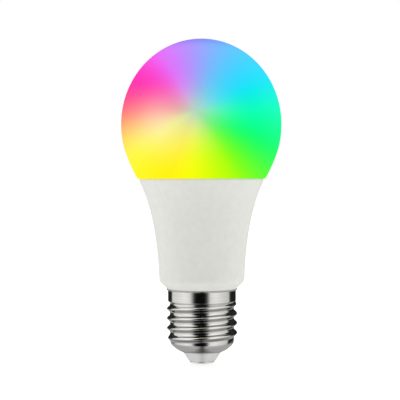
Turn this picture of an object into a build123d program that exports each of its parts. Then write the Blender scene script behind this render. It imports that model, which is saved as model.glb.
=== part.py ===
"""Smart LED lamp with an A60 envelope on an E27 screw cap, as the pieces it is assembled from.

Millimetres. The origin is the middle of the centre contact's flat face, and +Z runs up the lamp's
axis to the top of the globe. Seen from the front, which is the -Y side, +X is to the right.
"""

import os
from math import cos, radians, sin

from build123d import *

# ---------------------------------------------------------------- driving dimensions
# Envelope
LAMP_LENGTH = 121.0
GLOBE_RADIUS = 30.0
DOME_HEIGHT = 31.9  # from the globe's widest level to its top
GLOBE_WALL = 1.2
SEAM_Z = 68.6  # level where the globe sits on the housing's rim
SEAM_GLOBE_RADIUS = 23.75
SEAM_HOUSING_RADIUS = 23.2
NECK_RADIUS = 20.9  # the globe's plug-in neck
NECK_FOOT_Z = 65.7
BEAD_Z = 67.0  # snap bead round the neck
BEAD = 0.3

# Housing
HOUSING_FOOT_Z = 27.4  # underside, where the screw shell begins
SPIGOT_RADIUS = 11.55  # runs down inside the screw shell
SPIGOT_BORE = 10.1
SPIGOT_FOOT_Z = 12.0

# E27 screw shell: a rolled thread of 7 turns to the inch in thin sheet
THREAD_PITCH = 25.4 / 7
THREAD_CREST_RADIUS = 13.15
THREAD_ROOT_RADIUS = 12.0
THREAD_START_Z = 10.0
THREAD_START_ANGLE = 255.0
THREAD_TURNS = 3.03
RIDGE_HALF_WIDTH = 1.45
SKIRT_RADIUS = 12.7
SHEET = 0.3
SHELL_FOOT_Z = 8.2  # where the thread's cylinder turns in to the crimped foot
SHELL_MOUTH_RADIUS = 7.0
SHELL_MOUTH_Z = 3.8

# Centre contact
CONTACT_RADIUS = 4.6
CONTACT_DISC = 0.6
SHANK_RADIUS = 1.6
SHANK_TOP_Z = 5.4
NAIL_RADIUS = 0.75
NAIL_TOP_Z = 4.0
NAIL_HEAD_RADIUS = 1.85
NAIL_HEAD = 0.35
FIT_GAP = 0.03  # radial gap of the metal fits

# Heat-sink cup and LED board
CUP_TOP_Z = 64.0
CUP_SHEET = 0.8
BOARD_RADIUS = 19.4
BOARD_THICKNESS = 1.0
BOARD_TOP_Z = CUP_TOP_Z + BOARD_THICKNESS
SCREW_OFFSET = 12.0  # of the two board screws, along X
SCREW_RADIUS = 1.2
MODULE_SLOT = (15.2, 3.0)
MODULE_SLOT_Y = -1.0

# LEDs
WHITE_RING_RADIUS = 16.2
WHITE_COUNT = 16
WHITE_SIZE = (2.8, 3.5, 0.7)
WHITE_WINDOW = (2.2, 2.9)
PHOSPHOR = 0.35
RGB_RING_RADIUS = 10.5
RGB_COUNT = 6
RGB_SIDE = 3.6
RGB_HEIGHT = 0.9
RGB_WELL_RADIUS = 1.45
RGB_WELL = 0.55
DIE_SIDE = 0.5
DIE_HEIGHT = 0.15
DIE_OFFSET = 0.55
LENS_HEIGHT = 0.38

# Driver board, upright on the lamp's axis: parts stand on its +Y face, joints are on its -Y face
COMPONENT_FACE = 1.4  # both faces are given as distances along -Y
SOLDER_FACE = 2.6
LEAD_TIP = 3.4
LEAD_RADIUS = 0.3
LEAD_HOLE_RADIUS = 0.42
JOINT_RADIUS = 0.8
JOINT_HEIGHT = 0.6
LEAD_BEND = 0.8

# Radio module, flat on the driver board's tongue, with its aerial above the LED board
MODULE_WIDTH = 14.0
MODULE_THICKNESS = 0.8
MODULE_FOOT_Z = 56.0
MODULE_TOP_Z = 75.0
MODULE_FACE = COMPONENT_FACE - MODULE_THICKNESS

# Six-way right-angle header from the driver board up to the LED board
PIN_COUNT = 6
PIN_PITCH = 1.8
PIN_SIDE = 0.64
HEADER_Z = 53.6
HEADER_Y = -5.4
PIN_TOP_Z = 67.2
PIN_BEND = 0.7
CONNECTOR_SIZE = (11.4, 4.4, 2.6)
STRIP_SIZE = (11.0, 2.5, 2.5)

# Parts on the driver board: axis or middle as (x, y, z), then the size
BULK_AXIS = (3.6, 3.0)
BULK_SIZE = (4.0, 15.5, 12.0)  # radius, foot level, height
OUTPUT_AXIS = (7.0, 2.2)
OUTPUT_SIZE = (3.15, 45.8, 9.0)
FUSE_AXIS = (-6.0, 0.6)
FUSE_SIZE = (1.5, 15.5, 8.5)
VARISTOR_MIDDLE = (-5.4, 1.4, 29.6)
VARISTOR_SIZE = (3.6, 2.0)
FILM_MIDDLE = (-6.5, 1.85, 38.0)
FILM_SIZE = (8.0, 5.5, 7.0)
CHOKE_MIDDLE = (6.5, 3.4, 39.5)
CHOKE_RADIUS = 4.0
CHOKE_HEIGHT = 9.0
COIL_MIDDLE = (-5.2, 3.1, 48.6)  # transformer
RECTIFIER_MIDDLE = (-3.0, 20.5)
RECTIFIER_SIZE = (4.7, 4.0, 1.6)
DRIVER_IC_MIDDLES = ((0.0, 32.5), (5.5, 49.4))
SOIC_SIZE = (4.9, 3.9, 1.4)
SOIC_STANDOFF = 0.2
SOIC_PITCH = 1.27

# Where leads pass through the driver board, as (x, z)
FUSE_LEADS = ((-6.0, 14.2), (-6.0, 25.5))
BULK_LEADS = ((1.85, 14.2), (5.35, 14.2))
OUTPUT_LEADS = ((5.75, 44.6), (8.25, 44.6))
VARISTOR_LEADS = ((-7.9, 25.9), (-2.9, 25.9))
FILM_LEADS = ((-9.0, 38.0), (-4.0, 38.0))
CHOKE_LEADS = ((4.0, 39.5), (9.0, 39.5))
COIL_PINS = tuple(
    (COIL_MIDDLE[0] + across, COIL_MIDDLE[2] + up)
    for up in (-3.5, 3.5)
    for across in (-3.2, 0.0, 3.2)
)
LIVE_JOINT = (-2.6, 15.6)
NEUTRAL_JOINT = (8.3, 16.0)
HEADER_JOINTS = tuple(
    ((index - (PIN_COUNT - 1) / 2) * PIN_PITCH, HEADER_Z) for index in range(PIN_COUNT)
)
THROUGH_LEADS = (
    *FUSE_LEADS,
    *BULK_LEADS,
    *OUTPUT_LEADS,
    *VARISTOR_LEADS,
    *FILM_LEADS,
    *CHOKE_LEADS,
    *COIL_PINS,
    LIVE_JOINT,
    NEUTRAL_JOINT,
)

# Mains wires
CORE_RADIUS = 0.34
SLEEVE_RADIUS = 0.6
WIRE_BEND = 0.8

EQUATOR_Z = LAMP_LENGTH - DOME_HEIGHT
STANDING = (Align.CENTER, Align.CENTER, Align.MIN)


# ---------------------------------------------------------------- helpers
def save(name, piece):
    """Label one finished piece and write it as its own STEP file."""
    piece.part.label = name
    export_step(piece.part, f"parts/{name}.step")


def dome_arc(radius, height):
    """Add the quarter ellipse from the globe's widest level up to its top."""
    angles = [radians(15 * step) for step in range(7)]
    points = [(radius * cos(angle), EQUATOR_Z + height * sin(angle)) for angle in angles]
    points[-1] = (0, EQUATOR_Z + height)
    Spline(*points, tangents=((0, 1), (-1, 0)))


def sweep_round(points, radius, bore=0.0, bend=WIRE_BEND):
    """Add a round bar or tube along straight runs joined by tangent bends."""
    with BuildLine() as route:
        FilletPolyline(*points, radius=bend)
    path = route.wires()[0]
    with BuildSketch(Plane(origin=path @ 0, z_dir=path % 0)) as section:
        Circle(radius)
        if bore:
            Circle(bore, mode=Mode.SUBTRACT)
    sweep(sections=section.sketch, path=path)


def straight_leads(points, inner_y, radius=LEAD_RADIUS):
    """Add leads that run square to the driver board, from their tips to the part at inner_y."""
    with BuildSketch(Plane.XZ.offset(LEAD_TIP)) as section:
        with Locations(*points):
            Circle(radius)
    extrude(section.sketch, amount=-(inner_y + LEAD_TIP))


def bent_leads(points, axis_y, body_z, radius=LEAD_RADIUS):
    """Add leads that leave a part along Z at axis_y and turn into the driver board."""
    for across, up in points:
        route = ((across, axis_y, body_z), (across, axis_y, up), (across, -LEAD_TIP, up))
        sweep_round(route, radius, bend=LEAD_BEND)


def save_capacitor(name, axis, size, leads):
    """Write an electrolytic capacitor as its can, printed sleeve, rubber bung and leads."""
    radius, foot_z, height = size
    sleeve = 0.1
    bung = 1.2
    at_foot = Location((*axis, foot_z))
    with BuildPart() as can:
        with Locations(at_foot):
            Cylinder(radius - sleeve, height, align=STANDING)
        fillet(can.edges().filter_by(GeomType.CIRCLE).sort_by(Axis.Z)[-1], 0.5)
        with Locations(at_foot):
            Cylinder(radius - 0.6, bung, align=STANDING, mode=Mode.SUBTRACT)
        groove_z = foot_z + bung + 0.5
        with BuildSketch(Plane.XZ.offset(-axis[1])):
            with Locations((axis[0] + radius - sleeve, groove_z)):
                Circle(0.35)
        revolve(axis=Axis((*axis, 0), (0, 0, 1)), mode=Mode.SUBTRACT)
        with Locations((*axis, foot_z + height)):  # vent score on the top
            Box(radius, 0.25, 0.2, mode=Mode.SUBTRACT)
            Box(0.25, radius, 0.2, mode=Mode.SUBTRACT)
    save(f"{name}_can", can)
    with BuildPart() as jacket:
        with Locations((*axis, foot_z + 0.2)):
            Cylinder(radius, height - 0.8, align=STANDING)
            Cylinder(radius - sleeve, height - 0.8, align=STANDING, mode=Mode.SUBTRACT)
    save(f"{name}_sleeve", jacket)
    with BuildPart() as plug:
        with Locations(at_foot):
            Cylinder(radius - 0.6, bung, align=STANDING)
    save(f"{name}_bung", plug)
    with BuildPart() as legs:
        bent_leads(leads, axis[1], foot_z)
    save(f"{name}_leads", legs)


def save_soic(body_name, legs_name, middles):
    """Write the eight-legged driver chips as their bodies and their bent legs."""
    width, depth, height = SOIC_SIZE
    with BuildPart() as bodies:
        with BuildSketch(Plane.XZ.offset(SOLDER_FACE + SOIC_STANDOFF)):
            with Locations(*middles):
                Rectangle(width, depth)
        extrude(amount=height)
        chamfer(bodies.edges().group_by(Axis.Y)[0], 0.2)
    save(body_name, bodies)
    half = depth / 2
    face = -SOLDER_FACE
    leg_outline = (
        (face - 0.9, half),
        (face - 0.9, half + 0.45),
        (face - 0.15, half + 0.6),
        (face - 0.15, half + 1.1),
        (face, half + 1.1),
        (face, half + 0.45),
        (face - 0.75, half + 0.3),
        (face - 0.75, half),
    )
    with BuildPart() as legs:
        for across, up in middles:
            for side in (-1, 1):
                outline = [(leg_y, up + side * leg_z) for leg_y, leg_z in leg_outline]
                for index in range(4):
                    leg_x = across + (index - 1.5) * SOIC_PITCH
                    with BuildSketch(Plane.YZ.offset(leg_x - 0.2)):
                        with BuildLine():
                            Polyline(*outline, close=True)
                        make_face()
                    extrude(amount=0.4)
    save(legs_name, legs)


os.makedirs("parts", exist_ok=True)

# ---------------------------------------------------------------- envelope
# Globe: half an ellipse on top, cheeks that draw in to the seam, then a neck that snaps into the
# housing. The wall is even all round.
with BuildPart() as diffuser_globe:
    with BuildSketch(Plane.XZ):
        with BuildLine():
            dome_arc(GLOBE_RADIUS, DOME_HEIGHT)
            cheek = Spline(
                (GLOBE_RADIUS, EQUATOR_Z),
                (28.45, 79.4),
                (SEAM_GLOBE_RADIUS, SEAM_Z + 0.3),
                tangents=((0, -1), (-0.47, -0.88)),
            )
            neck_bore = NECK_RADIUS - GLOBE_WALL
            Polyline(
                cheek @ 1,
                (SEAM_GLOBE_RADIUS - 0.3, SEAM_Z),
                (NECK_RADIUS, SEAM_Z),
                (NECK_RADIUS, BEAD_Z + BEAD),
                (NECK_RADIUS + BEAD, BEAD_Z),
                (NECK_RADIUS, BEAD_Z - BEAD),
                (NECK_RADIUS, NECK_FOOT_Z),
                (neck_bore, NECK_FOOT_Z),
                (neck_bore, SEAM_Z - 0.4),
                (22.4, SEAM_Z + 0.9),
            )
            Spline(
                (22.4, SEAM_Z + 0.9),
                (27.3, 79.8),
                (GLOBE_RADIUS - GLOBE_WALL, EQUATOR_Z),
                tangents=((0.5, 0.87), (0, 1)),
            )
            dome_arc(GLOBE_RADIUS - GLOBE_WALL, DOME_HEIGHT - GLOBE_WALL)
            Line((0, LAMP_LENGTH), (0, LAMP_LENGTH - GLOBE_WALL))
        make_face()
    revolve(axis=Axis.Z)
save("diffuser_globe", diffuser_globe)

# Housing: one moulded shell, flared at the rim, rounded at the foot, with a spigot for the cap.
with BuildPart() as housing_shell:
    with BuildSketch(Plane.XZ):
        with BuildLine():
            flank = Spline(
                (15.97, 32.0),
                (16.75, 42.1),
                (18.2, 52.2),
                (20.42, 61.24),
                (SEAM_HOUSING_RADIUS, SEAM_Z - 0.6),
                tangents=((0.02, 1), (0.5, 0.87)),
            )
            mouth = NECK_RADIUS + 0.1
            ledge_z = BOARD_TOP_Z + 0.2
            Polyline(
                flank @ 1,
                (SEAM_HOUSING_RADIUS + 0.05, SEAM_Z - 0.3),
                (SEAM_HOUSING_RADIUS - 0.2, SEAM_Z),
                (mouth, SEAM_Z),
                (mouth, BEAD_Z + BEAD + 0.1),
                (mouth + BEAD + 0.05, BEAD_Z),
                (mouth, BEAD_Z - BEAD - 0.1),
                (mouth, ledge_z),
                (20.55, ledge_z),
            )
            inner_flank = Spline(
                (20.55, ledge_z), (19.1, 61.2), (16.9, 52.2), (15.45, 42.1), (14.7, 32.0)
            )
            collar = SKIRT_RADIUS - SHEET - 0.1
            Polyline(
                inner_flank @ 1,
                (14.7, 31.2),
                (SPIGOT_BORE, 28.8),
                (SPIGOT_BORE, SPIGOT_FOOT_Z),
                (SPIGOT_RADIUS, SPIGOT_FOOT_Z),
                (SPIGOT_RADIUS, 22.3),
                (collar, 23.5),
                (collar, HOUSING_FOOT_Z),
                (12.85, HOUSING_FOOT_Z),
            )
            Bezier((12.85, HOUSING_FOOT_Z), (15.1, 29.5), (15.85, 30.2), (15.97, 32.0))
        make_face()
    revolve(axis=Axis.Z)
    with Locations((10.7, 0, 12.8)):  # notch for the neutral wire in the spigot's foot
        Box(2.0, 1.6, 1.7, mode=Mode.SUBTRACT)
    with Locations((11.35, 0, 16.4)):  # and its groove up the outside
        Box(1.0, 1.0, 8.0, mode=Mode.SUBTRACT)
save("housing_shell", housing_shell)

# ---------------------------------------------------------------- screw cap
# Screw shell: skirt, rolled thread and crimped foot, in sheet that shows the thread on both sides.
start = radians(THREAD_START_ANGLE)
outwards = (cos(start), sin(start), 0)
thread_base = Plane(origin=(0, 0, THREAD_START_Z), x_dir=outwards, z_dir=(0, 0, 1))
thread_section = Plane(
    origin=(0, 0, THREAD_START_Z), x_dir=outwards, z_dir=(sin(start), -cos(start), 0)
)
with BuildPart() as screw_shell:
    with BuildSketch(Plane.XZ):
        with BuildLine():
            bore = THREAD_ROOT_RADIUS - SHEET
            skirt_bore = SKIRT_RADIUS - SHEET
            Polyline(
                (THREAD_ROOT_RADIUS, SHELL_FOOT_Z),
                (THREAD_ROOT_RADIUS, 22.1),
                (SKIRT_RADIUS, 22.9),
                (SKIRT_RADIUS, 26.8),
                (SKIRT_RADIUS + 0.25, HOUSING_FOOT_Z),
                (SKIRT_RADIUS - 0.05, HOUSING_FOOT_Z),
                (skirt_bore, 26.9),
                (skirt_bore, 23.1),
                (bore, 22.3),
                (bore, SHELL_FOOT_Z),
            )
            lip = (SHELL_MOUTH_RADIUS - 0.1, SHELL_MOUTH_Z + SHEET)
            ThreePointArc((bore, SHELL_FOOT_Z), (10.18, 6.08), lip)
            Line(lip, (SHELL_MOUTH_RADIUS, SHELL_MOUTH_Z))
            ThreePointArc(
                (SHELL_MOUTH_RADIUS, SHELL_MOUTH_Z),
                (10.4, 5.86),
                (THREAD_ROOT_RADIUS, SHELL_FOOT_Z),
            )
        make_face()
    revolve(axis=Axis.Z)
    for depth, half_width, mode in (
        (0.0, RIDGE_HALF_WIDTH, Mode.ADD),
        (SHEET, RIDGE_HALF_WIDTH - SHEET, Mode.SUBTRACT),
    ):
        with BuildLine(thread_base, mode=Mode.PRIVATE) as thread_path:
            Helix(THREAD_PITCH, THREAD_PITCH * THREAD_TURNS, THREAD_ROOT_RADIUS)
        with BuildSketch(thread_section, mode=Mode.PRIVATE) as thread_profile:
            with BuildLine():
                crest = THREAD_CREST_RADIUS - depth
                slope = (
                    (THREAD_ROOT_RADIUS - 0.14 - depth, half_width),
                    (crest - 0.55, half_width / 2 + 0.05),
                    (crest - 0.12, 0.24),
                )
                Polyline(
                    *((radius, -up) for radius, up in slope),
                    (crest, 0),
                    *reversed(slope),
                    close=True,
                )
            make_face()
        sweep(
            sections=thread_profile.sketch,
            path=thread_path.wires()[0],
            is_frenet=True,
            mode=mode,
        )
save("screw_shell", screw_shell)

# Insulator: the pale cone between shell and contact, held by its flange inside the shell's foot.
with BuildPart() as base_insulator:
    with BuildSketch(Plane.XZ):
        with BuildLine():
            cone_radius = SHELL_MOUTH_RADIUS - 0.2
            hole = SHANK_RADIUS + 0.05
            Polyline(
                (hole, CONTACT_DISC),
                (CONTACT_RADIUS + 0.05, CONTACT_DISC),
                (CONTACT_RADIUS + 0.3, CONTACT_DISC + 0.25),
                (cone_radius, SHELL_MOUTH_Z - 0.2),
                (cone_radius, SHELL_MOUTH_Z + 0.5),
                (8.3, 5.1),
                (8.3, 6.4),
                (hole, 6.4),
                close=True,
            )
        make_face()
    revolve(axis=Axis.Z)
save("base_insulator", base_insulator)

# Centre contact: a rounded disc with a tubular shank, clamped on the live wire by a nail.
with BuildPart() as center_contact:
    with BuildSketch(Plane.XZ):
        with BuildLine():
            nail_bore = NAIL_RADIUS + FIT_GAP
            Polyline(
                (CONTACT_RADIUS, 0.3),
                (CONTACT_RADIUS, CONTACT_DISC),
                (SHANK_RADIUS, CONTACT_DISC),
                (SHANK_RADIUS, SHANK_TOP_Z),
                (nail_bore, SHANK_TOP_Z),
                (nail_bore, NAIL_HEAD),
                (NAIL_HEAD_RADIUS + FIT_GAP, NAIL_HEAD),
                (NAIL_HEAD_RADIUS + FIT_GAP, 0),
                (CONTACT_RADIUS - 0.4, 0),
            )
            Bezier((CONTACT_RADIUS - 0.4, 0), (CONTACT_RADIUS, 0), (CONTACT_RADIUS, 0.3))
        make_face()
    revolve(axis=Axis.Z)
save("center_contact", center_contact)

with BuildPart() as contact_nail:
    Cylinder(NAIL_HEAD_RADIUS, NAIL_HEAD, align=STANDING)
    Cylinder(NAIL_RADIUS, NAIL_TOP_Z, align=STANDING)
save("contact_nail", contact_nail)

# ---------------------------------------------------------------- heat sink and LED board
# Heat-sink cup: drawn sheet under the LED board, open below, with collars for the two screws.
with BuildPart() as heat_sink_cup:
    with BuildSketch(Plane.XZ):
        with BuildLine():
            top_outer = 19.7
            cup_outer = Spline(
                (top_outer, 63.4), (18.95, 61.2), (16.8, 52.2), (15.35, 42.1), (14.55, 33.0)
            )
            Polyline(cup_outer @ 1, (14.55 - CUP_SHEET, 33.0))
            cup_inner = Spline(
                (14.55 - CUP_SHEET, 33.0), (14.55, 42.1), (16.0, 52.2), (18.1, 61.2), (18.6, 62.7)
            )
            Polyline(
                cup_inner @ 1,
                (18.2, CUP_TOP_Z - CUP_SHEET),
                (0, CUP_TOP_Z - CUP_SHEET),
                (0, CUP_TOP_Z),
                (top_outer - 0.5, CUP_TOP_Z),
                (top_outer, 63.4),
            )
        make_face()
    revolve(axis=Axis.Z)
    with Locations((SCREW_OFFSET, 0, CUP_TOP_Z), (-SCREW_OFFSET, 0, CUP_TOP_Z)):
        Cylinder(1.9, 2.4, align=(Align.CENTER, Align.CENTER, Align.MAX))
        Cylinder(
            SCREW_RADIUS + FIT_GAP,
            2.4,
            align=(Align.CENTER, Align.CENTER, Align.MAX),
            mode=Mode.SUBTRACT,
        )
    with BuildSketch(Plane.XY.offset(CUP_TOP_Z)):
        with Locations((0, MODULE_SLOT_Y)):
            Rectangle(*MODULE_SLOT)
        with Locations((0, HEADER_Y)):
            SlotOverall(CONNECTOR_SIZE[0], 2.0)
    extrude(amount=-2 * CUP_SHEET, mode=Mode.SUBTRACT)
save("heat_sink_cup", heat_sink_cup)

with BuildPart() as led_board:
    with BuildSketch(Plane.XY.offset(CUP_TOP_Z)):
        Circle(BOARD_RADIUS)
        with Locations((0, MODULE_SLOT_Y)):
            Rectangle(*MODULE_SLOT, mode=Mode.SUBTRACT)
        with Locations((SCREW_OFFSET, 0), (-SCREW_OFFSET, 0)):
            Circle(SCREW_RADIUS + 0.2, mode=Mode.SUBTRACT)
        with Locations(*((across, HEADER_Y) for across, _ in HEADER_JOINTS)):
            Circle(0.5, mode=Mode.SUBTRACT)
        with PolarLocations(BOARD_RADIUS, 2, start_angle=90):  # keys on the rim
            Circle(0.8, mode=Mode.SUBTRACT)
    extrude(amount=BOARD_THICKNESS)
save("led_board", led_board)

with BuildPart() as led_board_screws:
    with Locations((SCREW_OFFSET, 0, BOARD_TOP_Z), (-SCREW_OFFSET, 0, BOARD_TOP_Z)):
        Cylinder(2.2, 1.4, align=STANDING)
        Cylinder(SCREW_RADIUS, 5.0, align=(Align.CENTER, Align.CENTER, Align.MAX))
    fillet(led_board_screws.edges().group_by(Axis.Z)[-1], 0.6)
    with Locations((SCREW_OFFSET, 0, BOARD_TOP_Z + 1.4), (-SCREW_OFFSET, 0, BOARD_TOP_Z + 1.4)):
        Box(2.0, 0.5, 1.4, mode=Mode.SUBTRACT)
        Box(0.5, 2.0, 1.4, mode=Mode.SUBTRACT)
save("led_board_screws", led_board_screws)

# White LEDs: frames with an open window, filled with cool or warm phosphor turn by turn.
white_step = 360 / WHITE_COUNT
with BuildPart() as white_led_frames:
    with BuildSketch(Plane.XY.offset(BOARD_TOP_Z)):
        with PolarLocations(WHITE_RING_RADIUS, WHITE_COUNT, start_angle=white_step / 2):
            Rectangle(WHITE_SIZE[0], WHITE_SIZE[1])
    extrude(amount=WHITE_SIZE[2])
    with BuildSketch(Plane.XY.offset(BOARD_TOP_Z + WHITE_SIZE[2])):
        with PolarLocations(WHITE_RING_RADIUS, WHITE_COUNT, start_angle=white_step / 2):
            Rectangle(*WHITE_WINDOW)
    extrude(amount=-PHOSPHOR, mode=Mode.SUBTRACT)
save("white_led_frames", white_led_frames)

for name, first in (("cool_phosphor", 0.5), ("warm_phosphor", 1.5)):
    with BuildPart() as phosphor:
        with BuildSketch(Plane.XY.offset(BOARD_TOP_Z + WHITE_SIZE[2])):
            with PolarLocations(
                WHITE_RING_RADIUS, WHITE_COUNT // 2, start_angle=first * white_step
            ):
                Rectangle(*WHITE_WINDOW)
        extrude(amount=-PHOSPHOR)
    save(name, phosphor)

# Colour LEDs: square frames with a round well, three dies on the well's floor, clear resin above.
well_floor_z = BOARD_TOP_Z + RGB_HEIGHT - RGB_WELL
with BuildPart() as rgb_led_frames:
    with BuildSketch(Plane.XY.offset(BOARD_TOP_Z)):
        with PolarLocations(RGB_RING_RADIUS, RGB_COUNT, start_angle=30):
            Rectangle(RGB_SIDE, RGB_SIDE)
    extrude(amount=RGB_HEIGHT)
    with BuildSketch(Plane.XY.offset(BOARD_TOP_Z + RGB_HEIGHT)):
        with PolarLocations(RGB_RING_RADIUS, RGB_COUNT, start_angle=30):
            Circle(RGB_WELL_RADIUS)
    extrude(amount=-RGB_WELL, mode=Mode.SUBTRACT)
save("rgb_led_frames", rgb_led_frames)

for name, turn in (("red_dies", 90), ("green_dies", 210), ("blue_dies", 330)):
    with BuildPart() as dies:
        with PolarLocations(RGB_RING_RADIUS, RGB_COUNT, start_angle=30):
            with Locations(
                (
                    DIE_OFFSET * cos(radians(turn)),
                    DIE_OFFSET * sin(radians(turn)),
                    well_floor_z,
                )
            ):
                Box(DIE_SIDE, DIE_SIDE, DIE_HEIGHT, align=STANDING)
    save(name, dies)

with BuildPart() as rgb_led_lenses:
    with BuildSketch(Plane.XY.offset(well_floor_z + DIE_HEIGHT)):
        with PolarLocations(RGB_RING_RADIUS, RGB_COUNT, start_angle=30):
            Circle(RGB_WELL_RADIUS)
    extrude(amount=LENS_HEIGHT)
save("rgb_led_lenses", rgb_led_lenses)

with BuildPart() as led_connector:
    with BuildSketch(Plane.XY.offset(BOARD_TOP_Z)):
        with Locations((0, HEADER_Y)):
            RectangleRounded(CONNECTOR_SIZE[0], CONNECTOR_SIZE[1], 0.4)
        with Locations(*((across, HEADER_Y) for across, _ in HEADER_JOINTS)):
            Rectangle(PIN_SIDE + 0.1, PIN_SIDE + 0.1, mode=Mode.SUBTRACT)
    extrude(amount=CONNECTOR_SIZE[2])
save("led_connector", led_connector)

# ---------------------------------------------------------------- driver board
with BuildPart() as driver_board:
    with BuildSketch(Plane.XZ.offset(COMPONENT_FACE)):
        with BuildLine():
            Polyline(
                (9.4, 13.0),
                (9.4, 32.4),
                (12.5, 35.5),
                (12.5, 57.5),
                (11.5, 58.5),
                (7.5, 58.5),
                (7.5, 61.5),
                (0, 61.5),
                (0, 13.0),
                close=True,
            )
        make_face()
        mirror(about=Plane.YZ)
        with Locations(*THROUGH_LEADS):
            Circle(LEAD_HOLE_RADIUS, mode=Mode.SUBTRACT)
        with Locations(*HEADER_JOINTS):
            Circle(0.5, mode=Mode.SUBTRACT)
    extrude(amount=SOLDER_FACE - COMPONENT_FACE)
save("driver_board", driver_board)

with BuildPart() as solder_joints:
    for across, up in THROUGH_LEADS:
        with Locations(Location((across, -SOLDER_FACE, up), (90, 0, 0))):
            Cone(JOINT_RADIUS, LEAD_HOLE_RADIUS, JOINT_HEIGHT, align=STANDING)
            Cylinder(CORE_RADIUS + FIT_GAP, JOINT_HEIGHT, align=STANDING, mode=Mode.SUBTRACT)
    for across, up in HEADER_JOINTS:
        with Locations(Location((across, -COMPONENT_FACE, up), (-90, 0, 0))):
            Cone(JOINT_RADIUS, 0.55, JOINT_HEIGHT, align=STANDING)
            Cylinder(0.48, JOINT_HEIGHT, align=STANDING, mode=Mode.SUBTRACT)
save("solder_joints", solder_joints)

save_capacitor("bulk_capacitor", BULK_AXIS, BULK_SIZE, BULK_LEADS)
save_capacitor("output_capacitor", OUTPUT_AXIS, OUTPUT_SIZE, OUTPUT_LEADS)

# Fusible resistor: a coated rod with two end caps, its leads bent into the board.
with BuildPart() as fuse_resistor:
    with Locations((*FUSE_AXIS, FUSE_SIZE[1])):
        Cylinder(FUSE_SIZE[0], FUSE_SIZE[2], align=STANDING)
    fillet(fuse_resistor.edges().filter_by(GeomType.CIRCLE), 0.5)
    with Locations((*FUSE_AXIS, FUSE_SIZE[1] + FUSE_SIZE[2] / 2)):
        Cylinder(FUSE_SIZE[0], FUSE_SIZE[2] - 4.0, mode=Mode.SUBTRACT)
        Cylinder(FUSE_SIZE[0] - 0.2, FUSE_SIZE[2] - 4.0)
save("fuse_resistor", fuse_resistor)

with BuildPart() as fuse_resistor_leads:
    bent_leads(FUSE_LEADS[:1], FUSE_AXIS[1], FUSE_SIZE[1])
    bent_leads(FUSE_LEADS[1:], FUSE_AXIS[1], FUSE_SIZE[1] + FUSE_SIZE[2])
save("fuse_resistor_leads", fuse_resistor_leads)

# Varistor: a dipped disc whose legs leave from its lower edge.
varistor_foot = VARISTOR_MIDDLE[2] - 3.2
with BuildPart() as varistor:
    with Locations(Location(VARISTOR_MIDDLE, (90, 0, 0))):
        Cylinder(*VARISTOR_SIZE)
    fillet(varistor.edges().filter_by(GeomType.CIRCLE), 0.8)
    for across, _ in VARISTOR_LEADS:
        with Locations((across, VARISTOR_MIDDLE[1], varistor_foot)):
            Cylinder(LEAD_RADIUS + FIT_GAP, 1.4, align=STANDING, mode=Mode.SUBTRACT)
save("varistor", varistor)

with BuildPart() as varistor_leads:
    bent_leads(VARISTOR_LEADS, VARISTOR_MIDDLE[1], varistor_foot + 1.4)
save("varistor_leads", varistor_leads)

with BuildPart() as film_capacitor:
    with Locations(FILM_MIDDLE):
        Box(*FILM_SIZE)
    fillet(film_capacitor.edges(), 0.4)
save("film_capacitor", film_capacitor)

with BuildPart() as film_capacitor_leads:
    straight_leads(FILM_LEADS, FILM_MIDDLE[1] - FILM_SIZE[1] / 2)
save("film_capacitor_leads", film_capacitor_leads)

# Choke: a ferrite drum on its end, wound between the flanges and jacketed.
choke_foot_y = CHOKE_MIDDLE[1] - CHOKE_HEIGHT / 2
flange = 1.2
winding_radius = 3.4
with BuildPart() as choke_core:
    with Locations(Location(CHOKE_MIDDLE, (90, 0, 0))):
        Cylinder(CHOKE_RADIUS, CHOKE_HEIGHT)
        Cylinder(CHOKE_RADIUS, CHOKE_HEIGHT - 2 * flange, mode=Mode.SUBTRACT)
        Cylinder(1.8, CHOKE_HEIGHT)
save("choke_core", choke_core)

with BuildPart() as choke_winding:
    with Locations(Location(CHOKE_MIDDLE, (90, 0, 0))):
        Cylinder(winding_radius, CHOKE_HEIGHT - 2 * flange)
        Cylinder(1.8, CHOKE_HEIGHT, mode=Mode.SUBTRACT)
save("choke_winding", choke_winding)

with BuildPart() as choke_sleeve:
    with Locations(Location(CHOKE_MIDDLE, (90, 0, 0))):
        Cylinder(CHOKE_RADIUS + 0.15, CHOKE_HEIGHT - 1.0)
        Cylinder(CHOKE_RADIUS, CHOKE_HEIGHT, mode=Mode.SUBTRACT)
save("choke_sleeve", choke_sleeve)

with BuildPart() as choke_leads:
    straight_leads(CHOKE_LEADS, choke_foot_y)
save("choke_leads", choke_leads)

# Transformer: two E cores face to face, a flanged bobbin on the middle leg, winding and tape.
core_x, core_y, core_z = 12.0, 4.0, 11.0
window_inner, window_outer, window_half = 1.7, 4.4, 3.9
with BuildPart() as transformer_core:
    with Locations(COIL_MIDDLE):
        Box(core_x, core_y, core_z)
        for side in (-1, 1):
            with Locations((side * (window_inner + window_outer) / 2, 0, 0)):
                Box(
                    window_outer - window_inner,
                    core_y,
                    2 * window_half,
                    mode=Mode.SUBTRACT,
                )
save("transformer_core", transformer_core)

with BuildPart() as transformer_bobbin:
    with Locations(COIL_MIDDLE):
        Box(4.5, 5.1, 7.6)
        for side in (-1, 1):
            with Locations((0, 0, side * 3.5)):
                Box(8.6, 8.4, 0.6)
        Box(3.4, 4.0, 7.6, mode=Mode.SUBTRACT)
save("transformer_bobbin", transformer_bobbin)

coil_foot_z = COIL_MIDDLE[2] - 3.2
with BuildPart() as transformer_winding:
    with BuildSketch(Plane.XY.offset(coil_foot_z)):
        with Locations(COIL_MIDDLE[:2]):
            RectangleRounded(8.1, 7.7, 1.8)
            Rectangle(4.5, 5.1, mode=Mode.SUBTRACT)
    extrude(amount=6.4)
save("transformer_winding", transformer_winding)

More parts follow.
